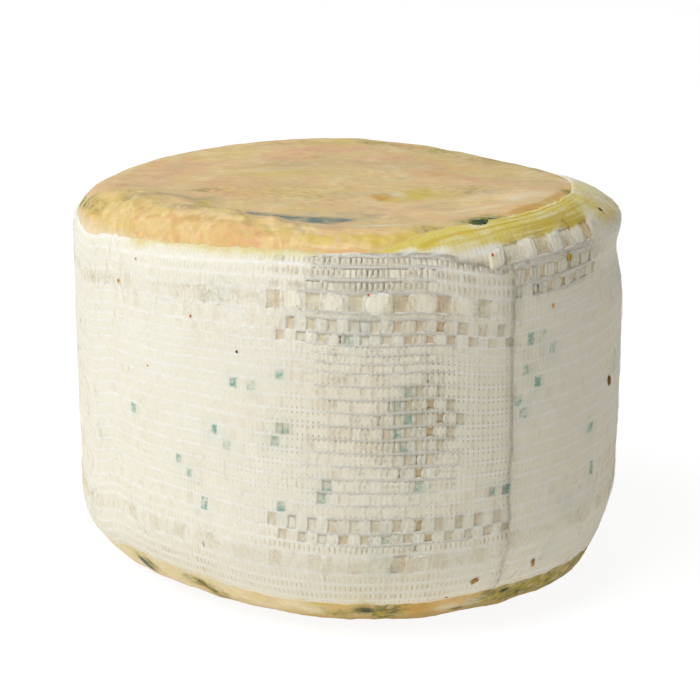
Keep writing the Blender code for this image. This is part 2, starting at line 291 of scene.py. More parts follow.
# Crumbs and dark specks: azimuth, length up the section and radius in millimetres, colour
SPECKS = (
    (-113, 68.7, 0.22, "1E1A14"), (-148.5, 75.1, 0.3, "C08C3C"), (-141.5, 80.9, 0.2, "C08C4C"),
    (-138, 61.1, 0.18, "D08868"), (-63, 87, 0.22, "B23A1C"), (-87, 81.4, 0.17, "C8482A"),
    (-124.5, 73.5, 0.22, "C06A34"), (-48.5, 75.5, 0.32, "CE8A34"), (-43.5, 83.6, 0.6, "B08A34"),
    (-23.5, 55.3, 0.75, "7A5A22"), (-50.5, 25.7, 0.42, "A07A30"), (-50.2, 24.9, 0.34, "B08A40"),
    (-65.4, 24.2, 0.34, "A8803C"), (-65, 24.5, 0.38, "B08A48"), (-64.6, 24.7, 0.36, "A07A38"),
    (-63.7, 94.9, 0.7, "50602C"), (-62.6, 94.7, 0.9, "3E5026"), (-61.4, 94.6, 0.95, "364624"),
    (-60.2, 94.9, 0.75, "4A5A2A"), (-21, 88.9, 0.5, "4A3A28"), (-70, 20.5, 0.26, "8A5E30"),
    (38, 58, 0.35, "B07038"), (84, 40, 0.3, "6E4A24"), (131, 70, 0.32, "B8763C"),
    (168, 34, 0.3, "C06A34"),
)

# Yellow stain on the lace: bearings in degrees and lengths in millimetres up the section,
# and its strength, at the rim, the outer edge, the crust, the bump, the foot and the fold;
# and where the outer turn starts, and where bare rind shows under the inner one
RIM_STAIN_TURN, RIM_STAIN, OUTER_STAIN = (-94, -84, -24, -10), (87.7, 89.9), (87.4, 89.4)
CRUST_STAIN_TURN, CRUST_STAIN = (-152, -142, -98, -90), (-2.8, -0.6)
BUMP_STAIN_TURN, BUMP_STAIN, BUMP_PALE_TURN = (-34, -26, 2, 12), (83.5, 87.5), (-36, -28, 2, 12)
FOOT_STAIN = (0.3, 2.6)
FOLD_STAIN_TURN, FOLD_STAIN = (-66, -60, -38, -30), (81.5, 83.0, 88.0, 89.0)
OUTER_TINT, CRUST_TINT, BUMP_TINT, FOOT_TINT, FOLD_TINT = 0.4, 0.6, 0.62, 0.5, 0.2
LAST_TURN, BARE_TURN, BARE_BELOW, BARE_TINT = (330, 350), 34, (86.5, 88.0), 0.6

# Colours, as sRGB
RIND_BEIGE, RIND_PEACH, RIND_CREAM = "DCC28C", "E5C290", "EADBB2"
RIND_ROSE, RIND_STRAW, RIND_DRAB = "DCAE88", "DDC070", "BFB48A"
RIND_RIDGE, RIND_VEIN, RIND_FOLD = "E6D3A0", "D0BA6A", "CFA974"
STAINS = {
    "pink": "DBAE88", "yellow": "D4BC64", "orange": "D29C60", "ochre": "C99E4C", "gold": "D0B848",
    "olive": "948C3C", "bloom": "E7DCBC", "grey": "72807A", "teal": "74A496", "green": "2F3A1E",
}
COTTON, COTTON_WARM, COTTON_GREEN, FELT = "F7F0D8", "F4E4C4", "ECEACF", "F9F3E0"
LACE_YELLOW, LACE_OLIVE, LACE_TEAL, LACE_HALO = "DEC668", "C8AA3A", "82AB9C", "CFDACA"
LACE_SAND, LACE_PINK, LACE_MOSS = "D8C6A2", "DEBEA0", "B2B092"
# The dark of the small holes and slits is their ground and painted shade; the light dashes on the cords are a
# painted highlight
HOLE_GROUND_AND_SHADE, CORD_HIGHLIGHT = "AC9A7E", "FFFBF0"

# How coarse the patterns of the finishes are, in metres from one hump to the next. Cotton
# fibres are 0.02 mm thick, which does not show, so their fuzz is drawn ten times as coarse
CLOUD, MOTTLE, TEAR, GRAIN = 16 * MM, 5 * MM, 2.6 * MM, 0.9 * MM
ROSE_PATCH, STRAW_PATCH, DRAB_PATCH = 9 * MM, 6.5 * MM, 7.5 * MM
WINDOW_PATCH, MOULD_GRAIN, CRUMB_GRAIN = 1.7 * MM, 0.35 * MM, 0.15 * MM
FUZZ, YARN_CLOUD, GREEN_CLOUD, HOLE_PATCH = 0.25 * MM, 7 * MM, 11 * MM, 6 * MM
RIDGE_SIZE, VEIN_SIZE = 4.5 * MM, 2.2 * MM

# Details of the yarn: the twisted cords, the stitches, the tufts, how many loose hairs
# there are and what share of them is at the tufts, and the hairs' sizes in millimetres
CORD_SIDES, CORD_SLANT, CORD_DROOP = 6, 0.40 * MM, 1.5
STITCH_HALF, LADDER_HALF, STITCH_DEPTH, STITCH_LEAN = 0.54 * MM, 0.48 * MM, 0.10 * MM, 0.16 * MM
TUFT_WIDE, TUFT_HIGH, TUFT_POWER = 1.16, 1.08, 0.85
TUFT_LUMPS, TUFT_STRANDS, TUFT_WAIST, TUFT_FELT = 0.2, 0.12, 0.12, (0.5, 0.68)
HAIRS, FRAYS, TUFT_HAIRS = 4200, 200, 0.42
HAIR_LENGTHS, FRAY_LENGTHS, HAIR_THICK = (1.5, 5.0), (1.0, 3.2), (0.02, 0.038)
HAIR_BEND, HAIR_ARCH, HAIR_CURL = 1.2, (0.02, 0.24), 0.1

# The studio: a long lens, one big soft light from the front left, and paper underneath
CAMERA_PLACE = (0.00056, -0.5753, 0.1968)
CAMERA_TILT, CAMERA_LENS, CAMERA_SENSOR = 14.87, 154.2, 36.0
KEY_AZIMUTH, KEY_HEIGHT, KEY_DISTANCE, KEY_SIZE, KEY_POWER = -137, 51.5, 1.3, 0.9, 16.6
KEY_COLOUR, ROOM_LIGHT, ROOM_COLOUR = "FBFDFF", 0.28, (1.0, 0.97, 0.91)
FLOOR_ALBEDO, FLOOR_FILL, SHADOW_SHARE, FLOOR_GLOW = 0.8, 0.2, 0.18, 0.9
FLOOR_REACH, FLOOR_GAP = 3.0, 0.2 * MM

# Steps of the meshes
RIND_SEGMENTS = 560
RIND_RINGS = ((0, 1, 8), (1, 2, 26), (2, 3, 24), (3, 4, 40), (4, 4.4, 30), (4.4, 5, 26))


def smooth(low, high, value):
    """0 below low, 1 above high, and an S-curve between them."""
    share = np.clip((value - low) / (high - low), 0.0, 1.0)
    return share * share * (3 - 2 * share)


def plateau(corners, value):
    """Rises from 0 to 1 between the first two corners and falls between the last two."""
    return smooth(corners[0], corners[1], value) * (1 - smooth(corners[2], corners[3], value))


def waves(parts, azimuth):
    return sum(c * np.cos(n * azimuth) + s * np.sin(n * azimuth) for n, c, s in parts)


def away(azimuth, degrees):
    """How far an azimuth is from one given in degrees, the short way round."""
    return np.abs((azimuth - math.radians(degrees) + math.pi) % math.tau - math.pi)


def in_degrees(azimuth):
    return (np.degrees(azimuth) + 180) % 360 - 180


def section(azimuth):
    """The radius, rim height, foot rounding and brow rounding at an azimuth."""
    return (
        RADIUS + waves(OUT_OF_ROUND, azimuth),
        HEIGHT + waves(RIM_WAVES, azimuth),
        FOOT_ROUNDING + waves(FOOT_WAVES, azimuth),
        BROW_ROUNDING + waves(BROW_WAVES, azimuth),
    )


def swell(azimuth, height):
    """How far the side stands out of the plain drum at a height."""
    out = BELLY * np.sin(math.pi * np.minimum(height / HEIGHT, 1.0)) + TAPER * (height / HEIGHT - 0.5)
    for lump in LUMPS:
        across = away(azimuth, lump.azimuth) / math.radians(lump.spread)
        up = (height - lump.height) / lump.rise
        out = out + lump.out * np.exp(-across * across - up * up)
    return out


def crust(azimuth, stage):
    """Height of the rumpled crust over the rim."""
    wide, fine, slant = CRUST_FOLDS
    folds = 0.6 + 0.4 * np.sin(wide * azimuth + 2.5 * np.sin(fine * azimuth + slant * stage))
    return CRUST * folds * plateau(CRUST_TURN, in_degrees(azimuth)) * plateau(CRUST_STAGES, stage)


def trough(azimuth, stage):
    """Depth of the trough that runs behind the crust."""
    along = away(azimuth, TROUGH_AZIMUTH) / TROUGH_TURN
    across = (stage - TROUGH_STAGE) / TROUGH_SPREAD
    return TROUGH * np.exp(-along * along - across * across)


def skin(azimuth, stage, lift=0.0):
    """Points of the rind, or ones that stand off it by lift, one row each.

    The stage runs up the section: 0 is the middle of the base, 1 where the foot's
    rounding starts, 2 the bottom and 3 the top of the wall, 4 the rim and 5 the
    middle of the top.
    """
    azimuth, stage, lift = np.broadcast_arrays(azimuth, stage, lift)
    radius, rim, foot, brow = section(azimuth)
    parts = [stage < 1, stage < 2, stage < 3, stage < 4]
    quarter, zero = math.pi / 2, 0 * stage
    lean = np.select(parts, [zero - quarter, (stage - 2) * quarter, zero, (stage - 3) * quarter], quarter)
    inner, wall = radius - foot, rim - brow - foot
    out = np.select(
        parts,
        [inner * stage, inner + foot * np.cos(lean), radius, radius - brow + brow * np.cos(lean)],
        (radius - brow) * (5 - stage),
    )
    up = np.select(
        parts,
        [zero, foot + foot * np.sin(lean), foot + wall * (stage - 2), rim - brow + brow * np.sin(lean)],
        rim + (TOP_MIDDLE - rim) * smooth(4, PLATEAU_STAGE, stage) - trough(azimuth, stage),
    )
    out = out + swell(azimuth, up) * out / radius
    lift = lift + crust(azimuth, stage)
    out = out + lift * np.cos(lean)
    up = up + lift * np.sin(lean)
    return np.stack([out * np.cos(azimuth) - CENTRE[0], out * np.sin(azimuth) - CENTRE[1], up], axis=-1)


def section_lengths(azimuth):
    """Lengths of the foot's rounding, the wall, the brow's rounding and the top."""
    radius, rim, foot, brow = section(azimuth)
    return foot * math.pi / 2, rim - brow - foot, brow * math.pi / 2, radius - brow


def stage_at(azimuth, climb):
    """The stage that lies a given length up the section from where the foot starts."""
    found, left, stage = climb < -1, climb, 5.0 + 0 * climb
    for first, length in enumerate(section_lengths(azimuth), start=1):
        here = (left < length) & ~found
        stage = np.where(here, first + left / length, stage)
        found = found | here
        left = left - length
    return stage


def climb_at(azimuth, stage):
    """The length up the section at a stage, from where the foot's rounding starts."""
    lengths = enumerate(section_lengths(azimuth), start=1)
    return sum(length * np.clip(stage - first, 0, 1) for first, length in lengths)


def lace_edges(turn):
    """Lengths up the section of the bandage's lower and upper edge."""
    lower, upper = LOWER_EDGE, UPPER_EDGE
    for shift in EDGE_SHIFTS:
        share = smooth(shift.start, shift.end, np.degrees(turn))
        lower = lower + shift.lower * share
        upper = upper + shift.upper * share
    return lower, upper


def climb_of(turn, across):
    """The length up the section of a place on the band."""
    lower, upper = lace_edges(turn)
    share = across / BAND_WIDTH
    drawn = DRAWN_UP * plateau(DRAWN_TURN, np.degrees(turn)) * plateau(DRAWN_SHARES, share)
    return lower + (upper - lower) * share + drawn


def ripple(points, size, seed):
    """Smooth noise from -1 to 1, with humps of about the size given."""
    shift = Vector((7.3 * seed, 3.1 * seed, 1.7 * seed))
    return np.array([noise.noise(Vector(point) / size + shift) for point in points])


def chance(*cell):
    """A number from 0 to 1 that is always the same for one cell."""
    return random.Random("-".join(str(number) for number in cell)).random()


def on_band(along, across):
    """Points of the flat band, one row each."""
    return np.stack(np.broadcast_arrays(along, across, 0 * along), axis=-1)


def lace_place(along, across, lift):
    """Points of the bandage: along and across the flat band, and a lift off the rind."""
    along, across, lift = np.broadcast_arrays(along, across, lift)
    flat, share = on_band(along, across), across / BAND_WIDTH
    along = along + SWAY_ALONG[0] * ripple(flat, SWAY_ALONG[1], 1)
    ends = smooth(BAND_LENGTH - END_REACH, BAND_LENGTH, along)
    along = along + END_WAVE[0] * ends * ripple(flat * np.array([0.2, 1, 0]), END_WAVE[1], 20)
    edges = smooth(0.96, 1.0, share) + 1.2 * (1 - smooth(0.0, 0.04, share))
    across = across + SWAY_ACROSS[0] * ripple(flat, SWAY_ACROSS[1], 2) * plateau(EDGE_SHARES, share)
    across = across + EDGE_FRAY[0] * ripple(flat, EDGE_FRAY[1], 4) * edges
    turn = along / BAND_LENGTH * LACE_TURN
    azimuth, degrees = LACE_START + turn, np.degrees(turn)
    climb = climb_of(turn, across)
    second = smooth(*OVERLAP_RAMP, turn) - END_DIP * smooth(*END_DIP_TURN, degrees)
    below = lace_edges(turn + math.tau)[1] - climb
    buried = smooth(*BURIED_REACH, below) * (1 - smooth(*BURIED_TURN, degrees))
    sunk = EDGE_SINK * (1 - plateau(EDGE_SHARES, across / BAND_WIDTH)) + BURIED * buried
    return skin(azimuth, stage_at(azimuth, climb), lift + SECOND_LAYER * second - sunk)


def flat_place(azimuth, climb):
    """Where on the flat band the layer that shows lies, for an azimuth in degrees."""
    turn = math.radians((azimuth - math.degrees(LACE_START)) % 360)
    if turn < LACE_TURN - math.tau:
        turn += math.tau
    lower, upper = lace_edges(turn)
    across = (climb - lower) / (upper - lower) * BAND_WIDTH
    return turn / LACE_TURN * BAND_LENGTH, across - (climb_of(turn, across) - climb)


def matting(along, across):
    """How far white mould has felted the lace: 0 clean, 1 shut."""
    degrees, height = np.degrees(along / BAND_LENGTH * LACE_TURN), across / BAND_WIDTH
    felt = FELT_LEVEL
    for part in FELTINGS:
        felt = felt + part.more * plateau(part.turn, degrees) * plateau(part.heights, height)
    over_rim = plateau(RIM_FELTING.turn, degrees) * plateau(RIM_FELTING.heights, height)
    rippled = FELT_RIPPLE * ripple(on_band(along, across), 13 * MM, 18) * (1 - over_rim)
    return np.clip(felt + rippled + RIM_FELTING.more * over_rim, 0, 1)


def opening(row, wale):
    """The number of the wide opening that a cell belongs to, or None."""
    kind = ROWS[row].kind
    shift = 2 * ((row + 1) % 2)
    if kind == "tuft":
        return wale // TUFT_REPEAT if wale % TUFT_REPEAT < TUFT_OPEN + (wale < TUFT_LOOSE) else None
    inside = kind == "net"
    if kind == "field":
        count = round((MOTIF_FIRST - wale) / MOTIF_REPEAT)
        aside = abs(wale - MOTIF_FIRST + count * MOTIF_REPEAT) / MOTIF_WALES
        inside = aside + abs(row - MOTIF_ROW) / MOTIF_ROWS < 1
    if inside and (wale + shift) % NET_REPEAT < 2:
        return (wale + shift) // NET_REPEAT
    return None


def hidden(row, wale):
    """Whether a cell of the inner turn lies under the outer one."""
    turn = (wale + 0.5) / WALES * LACE_TURN
    if turn > LACE_TURN - math.tau:
        return False
    climb = climb_of(turn, MIDDLES[row])
    return climb < lace_edges(turn + math.tau)[1] - 1.0 * MM


def under_end(along, across):
    """1 where the outer turn lies over the inner one, 0 elsewhere, with a short slope."""
    turn = along / BAND_LENGTH * LACE_TURN
    climb = climb_of(turn, across)
    covered = 1 - smooth(-1.5 * MM, 0.0, climb - lace_edges(turn + math.tau)[1])
    return covered * (1 - smooth(33.0, 35.0, np.degrees(turn)))


def spot_cells():
    """The cells that are open over the teal spots, two side by side for each spot."""
    cells = {}
    for number, (azimuth, climb, _) in enumerate(TEAL_SPOTS, start=1):
        along, across = flat_place(azimuth, climb * MM)
        row = int(np.searchsorted(LINES, across)) - 1
        if 0 <= row < len(ROWS) and ROWS[row].kind in ("field", "net"):
            first = round(along / WALE) - 1
            cells[row, first] = cells[row, first + 1] = -number
    return cells


def read_cells():
    """For each cell, the number of the wide opening it is in and how open it is."""
    spots, cells, wide = spot_cells(), {}, {}
    for row in range(len(ROWS)):
        felt = matting((np.arange(WALES) + 0.5) * WALE, MIDDLES[row])
        for wale in range(WALES):
            number = spots.get((row, wale), opening(row, wale))
            draw = chance(row, wale if number is None else ("wide", number))
            if hidden(row, wale) or ROWS[row].kind == "band":
                state = "plain"
            elif number is None:
                shut = felt[wale] + (OPEN_SLOT if ROWS[row].kind == "ladder" else OPEN_CELL)
                state = "open" if draw > shut else "film" if draw > felt[wale] + FILMED_CELL else "plain"
            else:
                shut = felt[wale] > SHUT_WIDE and number >= 0
                state = "open" if draw > felt[wale] + OPEN_WIDE else "plain" if shut else "film"
                state = wide.setdefault((row, number), state)
            cells[row, wale] = number, state
    return cells


CELLS = read_cells()
SPOTTED = np.zeros((len(ROWS), WALES))
for (spot_row, spot_wale), (spot_number, _) in CELLS.items():
    if spot_number is not None and spot_number < 0:
        SPOTTED[spot_row, spot_wale] = 0.6 + 0.4 * chance(spot_number, "teal")


def lace_tints(along, across, depth=0.0):
    """Yellow stain, teal mould, bare ground colour and felt at points of the bandage."""
    turn = along / BAND_LENGTH * LACE_TURN
    azimuth, degrees = LACE_START + turn, np.degrees(turn)
    bearing = in_degrees(azimuth)
    lower, upper = lace_edges(turn)
    climb = climb_of(turn, across)
    flat = on_band(along, across)
    wander = ripple(flat, 6 * MM, 3)
    wavy_climb = climb / MM + wander
    last_turn = smooth(*LAST_TURN, degrees)
    over_rim = smooth(*RIM_STAIN, wavy_climb) * (0.5 + 0.5 * plateau(RIM_STAIN_TURN, bearing))
    over_rim = over_rim * (1 - last_turn) * (1 - 0.25 * plateau(BUMP_PALE_TURN, bearing))
    outer_edge = last_turn * smooth(*OUTER_STAIN, wavy_climb)
    below_edge = (climb - upper) / MM + 1.4 * wander
    at_crust = plateau(CRUST_STAIN_TURN, bearing) * smooth(*CRUST_STAIN, below_edge)
    at_bump = plateau(BUMP_STAIN_TURN, bearing) * smooth(*BUMP_STAIN, wavy_climb)
    at_foot = 1 - smooth(*FOOT_STAIN, (climb - lower) / MM + 1.6 * wander)
    at_foot = at_foot * smooth(-0.3, 0.4, ripple(flat, 5 * MM, 22))
    at_fold = depth * plateau(FOLD_STAIN_TURN, bearing) * plateau(FOLD_STAIN, climb / MM)
    yellow = np.maximum.reduce([
        over_rim, OUTER_TINT * outer_edge, CRUST_TINT * at_crust, BUMP_TINT * at_bump,
        FOOT_TINT * at_foot, FOLD_TINT * at_fold,
    ])
    teal = 0 * along
    for spot_azimuth, spot_climb, radius in TEAL_SPOTS:
        aside = away(azimuth, spot_azimuth) * RADIUS
        above = climb - spot_climb * MM
        reach = (aside * aside + above * above) / (radius * MM) ** 2
        teal = np.maximum(teal, 0.3 * np.exp(-0.4 * reach))
    under = np.where(degrees < BARE_TURN, 1 - smooth(*BARE_BELOW, climb / MM), 0.0)
    felt = matting(along, across)
    ground = np.maximum(BARE_TINT * under, depth * (1 - 0.6 * smooth(0.35, 0.95, felt)))
    channels = np.broadcast_arrays(yellow, teal, ground, felt)
    return np.clip(np.stack(channels, axis=-1), 0, 1)


def lace_layers(along, across, depth=0.0, mouldy=0.0):
    """The colour layers of a piece of the lace: its tints, and its place counted in cells.

    The third and fourth channel of the place are 1 in the rows whose cells get two small
    holes and one slit, painted dark with their ground and painted shade. The teal of a cell
    over a mould spot fills the cell.
    """
    row = np.interp(across, LINES, np.arange(len(LINES)))
    inside = np.minimum(row.astype(int), len(ROWS) - 1)
    dotted, slit = (np.array([entry.kind == kind for entry in ROWS])[inside] for kind in ("field", "ladder"))
    cells = np.stack(np.broadcast_arrays(along / WALE, row, dotted, slit), axis=-1)
    tints = lace_tints(along, across, depth)
    tints[:, 1] = np.maximum(tints[:, 1], mouldy * depth)
    return {"tint": tints, "cells": cells}


def paint(mesh, name, values):
    layer = mesh.attributes.new(name, "FLOAT_COLOR", "POINT")
    layer.data.foreach_set("color", np.ascontiguousarray(values, dtype=np.float32).ravel())


def make_piece(name, builder, finish, places=None, tints=None):
    """Turns a bmesh into a piece of the wheel, with its points placed and coloured."""
    mesh = bpy.data.meshes.new(name)
    builder.to_mesh(mesh)
    builder.free()
    if places is not None:
        mesh.vertices.foreach_set("co", np.ascontiguousarray(places, dtype=np.float32).ravel())
    for layer, values in (tints or {}).items():
        paint(mesh, layer, values)
    mesh.materials.append(finish)
    mesh.shade_smooth()
    mesh.update()
    piece = bpy.data.objects.new(name, mesh)
    bpy.context.scene.collection.objects.link(piece)
    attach(piece, "root")
    return piece


def make_yarn(name, builder, finish, along, across, lift):
    """A piece of the lace, for its points' places on the flat band and lifts off the rind."""
    places, layers = lace_place(along, across, lift), lace_layers(along, across)
    return make_piece(name, builder, finish, places, layers)


def spread_out(builder, count):
    """Many copies of a small closed shape in one bmesh, each copy's points, and its number."""
    template = bpy.data.meshes.new("template")
    builder.to_mesh(template)
    builder.free()
    many = bmesh.new()
    for _ in range(count):
        many.from_mesh(template)
    points = np.array([vert.co for vert in template.vertices])
    bpy.data.meshes.remove(template)
    return many, np.tile(points, (count, 1)), np.repeat(np.arange(count), len(points))


def ring_stages():
    """The stage of each ring of the rind's mesh, from the middle of the base upwards."""
    stages = [low + (high - low) * step / steps for low, high, steps in RIND_RINGS for step in range(steps)]
    return np.array([*stages, 5.0])


def rumple(azimuth, stage):
    """Where the rind is rumpled: all over the crust, and a little along the front rim."""
    crusty = plateau((-181, -170, -104, -84), in_degrees(azimuth)) * plateau((3.2, 3.34, 3.95, 4.2), stage)
    front = plateau((-110, -96, -74, -62), in_degrees(azimuth)) * plateau((3.4, 3.5, 3.95, 4.1), stage)
    return np.maximum(crusty, 0.7 * front)


def under_lace(azimuth, climb):
    """1 where the lace covers the rind, with a slope at its edges."""
    turn = (azimuth - LACE_START) % math.tau
    lower, upper = lace_edges(turn)
    outer_lower, outer_upper = lace_edges(turn + math.tau)
    twice = turn + math.tau < LACE_TURN
    lower = np.where(twice, np.minimum(lower, outer_lower), lower)
    upper = np.where(twice, np.maximum(upper, outer_upper), upper)
    return smooth(-1.6 * MM, 0, climb - lower) * smooth(-1.6 * MM, 0, upper - climb)


def rind_relief(points, azimuth, stage):
    """Height of the rind's own relief: a wavy top, wrinkles in the crust and a rough foot."""
    top = smooth(3.3, 3.7, stage)
    foot = plateau((0.95, 1.1, 1.45, 1.65), stage)
    broad, middle, fine = (ripple(points, size * MM, seed) for size, seed in ((13, 5), (4.5, 6), (1.7, 7)))
    relief = top * (0.30 * broad + 0.14 * middle + 0.06 * fine) + foot * (0.25 * middle + 0.12 * fine)
    rumpled = rumple(azimuth, stage)
    slanted = points @ np.array([[0.8, -0.6, 0], [0.9, 1.2, 0], [0, 0, 1]])
    fold = 1 - 3 * np.abs(ripple(slanted, 5.0 * MM, 8))
    crease = 1 - 3 * np.abs(ripple(slanted, 1.9 * MM, 9))
    bare = 1 - under_lace(azimuth, climb_at(azimuth, stage))
    return (relief + rumpled * (0.34 * fold + 0.20 * crease)) * bare * MM


def rind_stains(points, azimuth, stage):
    """How much of each stain the rind has, one column for each channel."""
    degrees, climb = in_degrees(azimuth), climb_at(azimuth, stage) / MM
    drift, rise = 0.9 * ripple(points, 4 * MM, 11), 0.9 * ripple(points, 4 * MM, 12)
    stains = {tint: 0 * stage for tint in CHANNELS}

    def lay(tint, strength, mask):
        stains[tint] = np.maximum(stains[tint], strength * mask)

    side = plateau((1.6, 1.8, 3.3, 3.42), stage)
    lay("bloom", 0.6, side)
    lay("pink", 0.5, side)
    for tint, blots in TOP_BLOTS.items():
        for middle_x, middle_y, half_length, half_width, turned, strength in blots:
            right, back = points[:, 0] / MM + drift - middle_x, points[:, 1] / MM + rise - middle_y
            turn = math.radians(turned)
            along = (right * math.cos(turn) + back * math.sin(turn)) / half_length
            aside = (back * math.cos(turn) - right * math.sin(turn)) / half_width
            lay(tint, strength, np.exp(-0.8 * (along ** 2 + aside ** 2)) * smooth(3.45, 3.6, stage))
    for zone in ZONES:
        around, up = degrees + 3 * drift, stage + 0.04 * rise
        lay(zone.tint, zone.strength, plateau(zone.turn, around) * plateau(zone.stages, up))
    for tint, spots in FOOT_SPOTS.items():
        for spot_azimuth, spot_climb, half_width, half_height, strength in spots:
            aside = (away(azimuth, spot_azimuth) * RADIUS / MM + 0.5 * drift) / half_width
            above = (climb - spot_climb + 0.4 * rise) / half_height
            lay(tint, strength, np.exp(-0.8 * (aside ** 2 + above ** 2)))
    for spot_azimuth, spot_climb, radius in TEAL_SPOTS:
        aside, above = away(azimuth, spot_azimuth) * RADIUS / MM, climb - spot_climb
        lay("teal", 1.0, np.exp(-0.7 * ((aside ** 2 + above ** 2) / (1.25 * radius) ** 2) ** 2))
    return np.clip(np.stack([stains[tint] for tint in CHANNELS], axis=-1), 0, 1)


def make_rind(finish):
    """A ball whose rings are carried to the stages of the section, with the fine relief."""
    stages = ring_stages()
    rings = len(stages) - 1
    ball = bmesh.new()
    bmesh.ops.create_uvsphere(ball, u_segments=RIND_SEGMENTS, v_segments=rings, radius=1.0)
    rays = np.array([vert.co for vert in ball.verts])
    azimuth = np.arctan2(rays[:, 1], rays[:, 0])
    stage = stages[np.round(np.arccos(np.clip(-rays[:, 2], -1, 1)) / math.pi * rings).astype(int)]
    plain = skin(azimuth, stage)
    relief = rind_relief(plain, azimuth, stage)
    stains = rind_stains(plain, azimuth, stage)
    columns = np.column_stack([stains, rumple(azimuth, stage), 0 * stage])
    tints = {name: columns[:, 4 * index:4 * index + 4] for index, name in enumerate(STAIN_LAYERS)}
    piece = make_piece("washed_rind", ball, finish, skin(azimuth, stage, relief), tints)
    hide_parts("cheese")
    return piece


def make_net(finish):
    """The knit: a flat grid whose cells are joined, inset and opened, then wound round."""
    net = bmesh.new()
    bmesh.ops.create_grid(net, x_segments=WALES, y_segments=len(ROWS), size=0.5)
    row_of, wale_of = net.faces.layers.int.new("row"), net.faces.layers.int.new("wale")
    for face in net.faces:
        middle = face.calc_center_median()
        face[wale_of] = int((middle.x + 0.5) * WALES)
        face[row_of] = int((middle.y + 0.5) * len(ROWS))
    for vert in net.verts:
        vert.co = ((vert.co.x + 0.5) * BAND_LENGTH, LINES[round((vert.co.y + 0.5) * len(ROWS))], 0.0)
    inside = []
    for edge in net.edges:
        cells = [(face[row_of], face[wale_of]) for face in edge.link_faces]
        numbers = {(row, CELLS[row, wale][0]) for row, wale in cells}
        number, state = CELLS[cells[0]]
        if len(cells) == 2 and len(numbers) == 1 and number is not None and state != "plain":
            inside.append(edge)
    bmesh.ops.dissolve_edges(net, edges=inside, use_verts=False)
    kinds = {}
    for face in net.faces:
        number, state = CELLS[face[row_of], face[wale_of]]
        middle = face.calc_center_median()
        shut = bool(matting(np.array([middle.x]), np.array([middle.y]))[0] > SHUT_FACE)
        kinds.setdefault((number is not None, state, shut), []).append(face)
    for (wide, state, shut), faces in kinds.items():
        if state != "plain":
            rim = (SHUT_RIM if shut else 1.0) * CELL_RIM if wide else SLOT_RIM
            film = FILM_RECESS if wide and not shut else SHUT_FILM
            recess = NET_RECESS if state == "open" else film
            bmesh.ops.inset_individual(net, faces=faces, thickness=rim, depth=-recess, use_even_offset=True)
    holes = [face for (_, state, _), faces in kinds.items() if state == "open" for face in faces]
    bmesh.ops.delete(net, geom=holes, context="FACES")
    tall = [edge for edge in net.edges if edge.calc_length() > TALL_EDGE]
    bmesh.ops.subdivide_edges(net, edges=tall, cuts=3, use_grid_fill=True)
    flat = np.array([vert.co for vert in net.verts])
    depth, inner = -flat[:, 2], flat[:, 2] < 0
    sunk = np.where(depth > 0.5 * FILM_RECESS, 1.0, smooth(0, SHUT_FILM, depth) * SHUT_GROUND)
    row = np.clip(np.searchsorted(LINES, flat[:, 1], side="right") - 1, 0, len(ROWS) - 1)
    wale = np.clip((flat[:, 0] / WALE).astype(int), 0, WALES - 1)
    mouldy = SPOTTED[row, wale] * inner / np.maximum(sunk, SHUT_GROUND)
    share = np.array([SLOT_SHARES.get(entry.kind, 1.0) for entry in ROWS])[row]
    above = flat[:, 1] - MIDDLES[row]
    flat[:, 1] -= np.where(sunk > 0, (1 - share) * above, 0)
    flat[:, 0] += np.where(sunk > 0, CELL_LEAN * above, 0)
    draw = np.random.default_rng(7)
    flat[:, :2] += draw.uniform(-NET_JITTER, NET_JITTER, (len(flat), 2)) * inner[:, None]
    felt = matting(flat[:, 0], flat[:, 1]) * (1 - under_end(flat[:, 0], flat[:, 1]))
    lumps = FELT_LUMPS * felt * ripple(flat, 1.6 * MM, 19)
    places = lace_place(flat[:, 0], flat[:, 1], NET_LIFT + flat[:, 2] + FELT_RISE * felt + lumps)
    layers = lace_layers(flat[:, 0], flat[:, 1], sunk, mouldy)
    piece = make_piece("lace_net", net, finish, places, layers)
    wall = piece.modifiers.new("wall", "SOLIDIFY")
    wall.thickness = NET_WALL
    wall.offset = 1.0
    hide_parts("lace_band")
    return piece


def make_cords(name, lines, finish):
    """Twisted cords along the lines between the rows: grids rolled into thin ropes."""
    cords = bmesh.new()
    steps = 2 * WALES
    for line in lines:
        made = bmesh.ops.create_grid(cords, x_segments=steps, y_segments=CORD_SIDES, size=0.5)
        bmesh.ops.translate(cords, vec=(0, 0, line), verts=made["verts"])
    sheet = np.array([vert.co for vert in cords.verts])
    step, around = np.round((sheet[:, 0] + 0.5) * steps), (sheet[:, 1] + 0.5) * math.tau
    line = np.round(sheet[:, 2]).astype(int)
    along, across = step / steps * BAND_LENGTH, LINES[line]
    felt = matting(along, across)
    strand = ripple(np.stack([along, across * 9, 0 * along], axis=-1), 2.3 * MM, 14)
    bead = np.where(step % 2 == 0, 1.35, 0.7)
    crown = np.where(np.cos(around) > 0, np.cos(around) ** 3, 0.8 * np.cos(around))
    height = CORD_HEIGHT * bead * (1 + 0.3 * strand)
    lift = CORD_LIFT - CORD_SINK * smooth(0.35, 0.75, felt) + height * crown
    lift = lift - PRESSED * under_end(along, across)
    along = along + CORD_SLANT * np.sin(around)
    droop = np.where(np.sin(around) < 0, CORD_DROOP, 1.0)
    across = across + CORD_HALF * (1 + 0.2 * strand) * droop * np.sin(around)
    places, layers = lace_place(along, across, lift), lace_layers(along, across)
    for vert, place in zip(cords.verts, places):
        vert.co = place
    for name_of, values in layers.items():
        layer = cords.verts.layers.float_color.new(name_of)
        for vert, value in zip(cords.verts, values):
            vert[layer] = value
    bmesh.ops.remove_doubles(cords, verts=cords.verts, dist=0.0001 * MM)
    ends = [edge for edge in cords.edges if edge.is_boundary]
    bmesh.ops.holes_fill(cords, edges=ends, sides=0)
    return make_piece(name, cords, finish)


